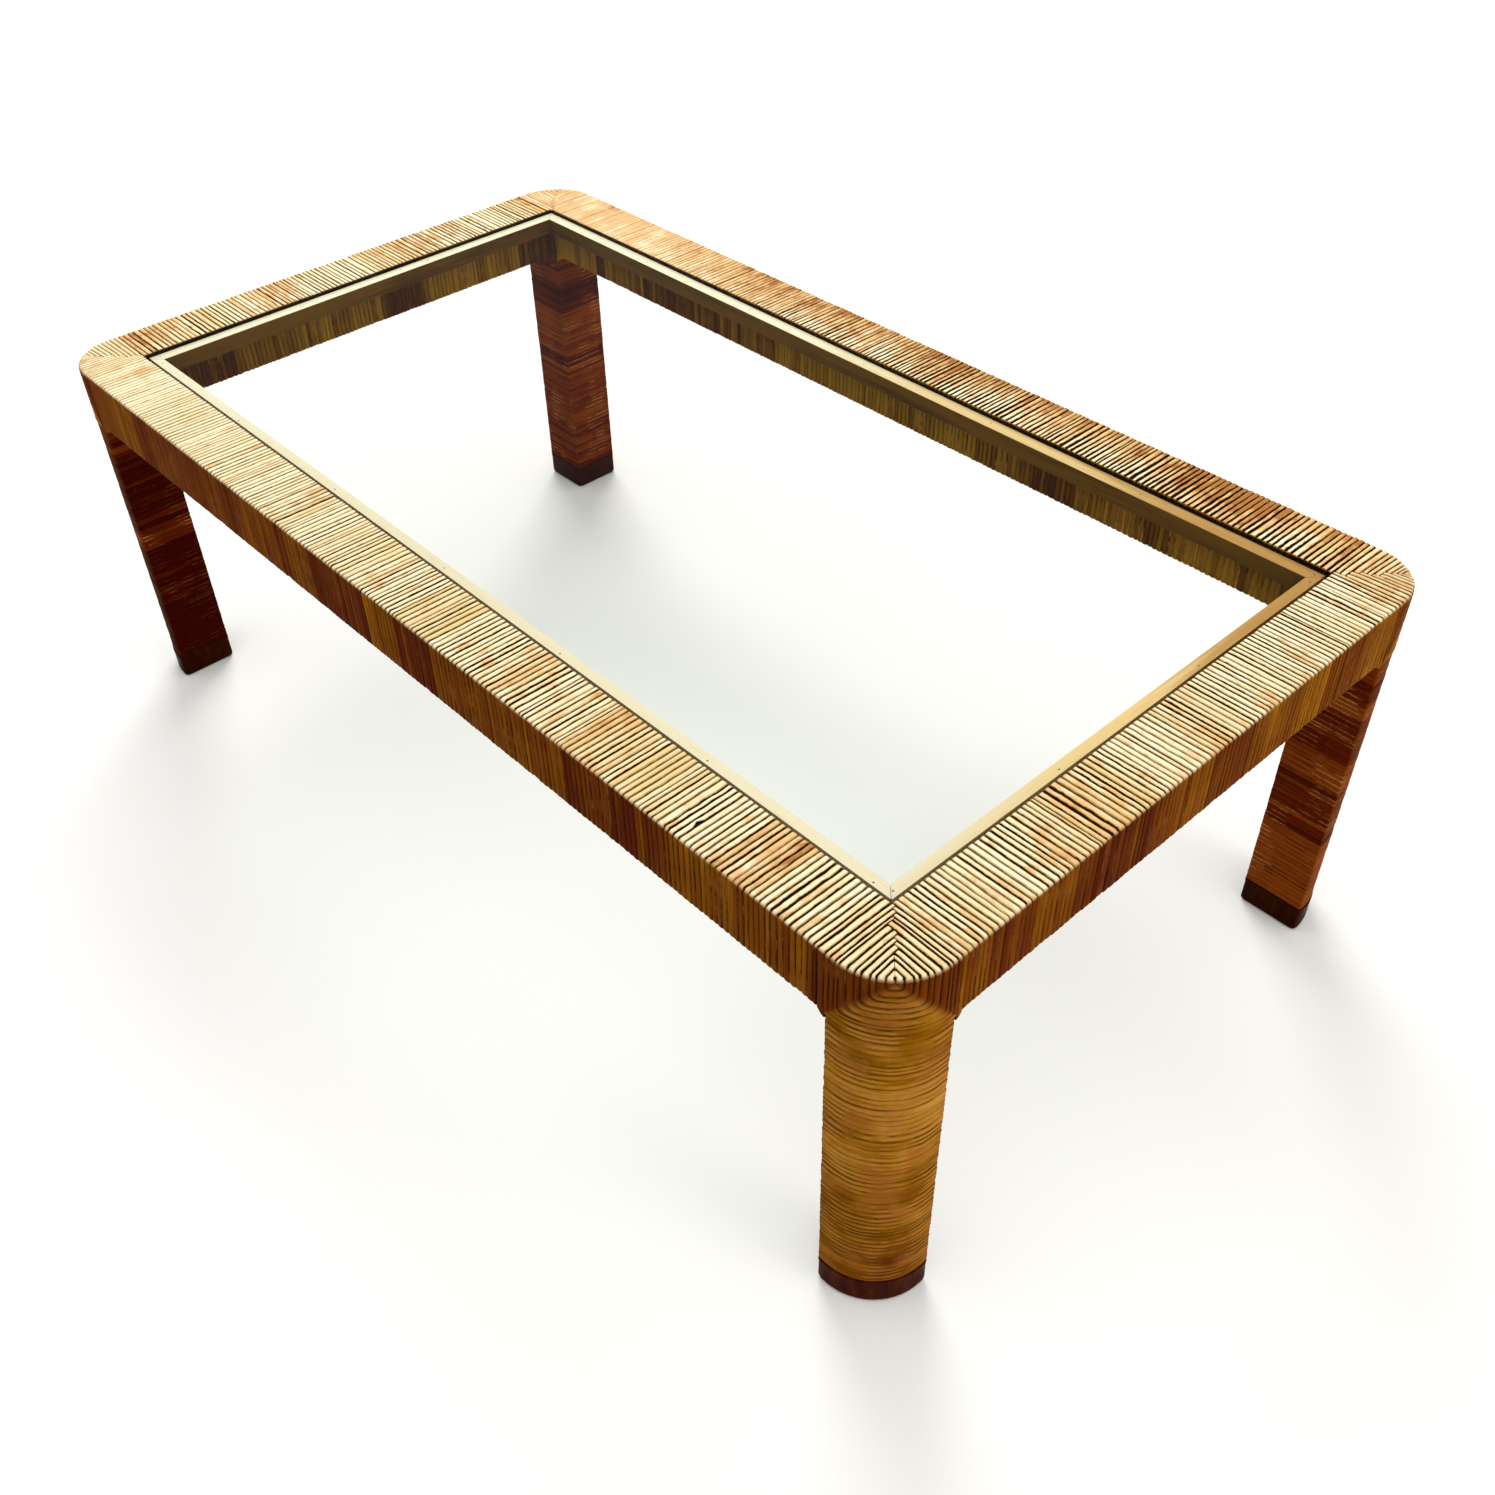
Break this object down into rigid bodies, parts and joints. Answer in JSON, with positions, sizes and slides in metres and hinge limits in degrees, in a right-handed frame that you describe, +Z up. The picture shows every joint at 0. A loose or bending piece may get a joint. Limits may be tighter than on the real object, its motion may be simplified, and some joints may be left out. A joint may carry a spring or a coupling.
{
  "type": "reed-wrapped coffee table",
  "caption": "Low rectangular coffee table: a wood frame wrapped in split reed, straight legs with rounded outer corners and dark foot caps, and an inset glass top that lifts out.",
  "frame": {"origin": "centre of the footprint, at floor level", "axes": "+X along the table's length, +Y across it, towards the back rail, +Z up"},
  "size_m": [1.372, 0.76, 0.457],
  "materials": {
    "rail_core_front": "sawn hardwood, unfinished",
    "rail_core_right": "sawn hardwood, unfinished",
    "rail_core_back": "sawn hardwood, unfinished",
    "rail_core_left": "sawn hardwood, unfinished",
    "rail_wrap_front": "lacquered split reed, cream with honey, pink and rust strips",
    "rail_wrap_right": "lacquered split reed, cream with honey, pink and rust strips",
    "rail_wrap_back": "lacquered split reed, cream with honey, pink and rust strips",
    "rail_wrap_left": "lacquered split reed, cream with honey, pink and rust strips",
    "ledge_front": "pale honey wood, satin",
    "ledge_right": "pale honey wood, satin",
    "ledge_back": "pale honey wood, satin",
    "ledge_left": "pale honey wood, satin",
    "leg_core_front_right": "sawn hardwood, unfinished",
    "leg_core_back_right": "sawn hardwood, unfinished",
    "leg_core_back_left": "sawn hardwood, unfinished",
    "leg_core_front_left": "sawn hardwood, unfinished",
    "leg_wrap_front_right": "lacquered split reed, tan and honey with dark red-brown turns",
    "leg_wrap_back_right": "lacquered split reed, tan and honey with dark red-brown turns",
    "leg_wrap_back_left": "lacquered split reed, tan and honey with dark red-brown turns",
    "leg_wrap_front_left": "lacquered split reed, tan and honey with dark red-brown turns",
    "foot_cap_front_right": "dark brown stained wood, satin",
    "foot_cap_back_right": "dark brown stained wood, satin",
    "foot_cap_back_left": "dark brown stained wood, satin",
    "foot_cap_front_left": "dark brown stained wood, satin",
    "glass_panel": "clear float glass with ground edges"
  },
  "bodies": {
    "frame": {"rail_core_front": "rail_core_front", "rail_core_right": "rail_core_right", "rail_core_back": "rail_core_back", "rail_core_left": "rail_core_left", "rail_wrap_front": "rail_wrap_front", "rail_wrap_right": "rail_wrap_right", "rail_wrap_back": "rail_wrap_back", "rail_wrap_left": "rail_wrap_left", "ledge_front": "ledge_front", "ledge_right": "ledge_right", "ledge_back": "ledge_back", "ledge_left": "ledge_left", "leg_core_front_right": "leg_core_front_right", "leg_core_back_right": "leg_core_back_right", "leg_core_back_left": "leg_core_back_left", "leg_core_front_left": "leg_core_front_left", "leg_wrap_front_right": "leg_wrap_front_right", "leg_wrap_back_right": "leg_wrap_back_right", "leg_wrap_back_left": "leg_wrap_back_left", "leg_wrap_front_left": "leg_wrap_front_left", "foot_cap_front_right": "foot_cap_front_right", "foot_cap_back_right": "foot_cap_back_right", "foot_cap_back_left": "foot_cap_back_left", "foot_cap_front_left": "foot_cap_front_left"},
    "glass": {"glass_panel": "glass_panel"}
  },
  "joints": [
    {"name": "glass_lift", "type": "slide", "parent": "frame", "child": "glass", "axis": [0, 0, 1], "range_m": [0, 0.12]}
  ]
}
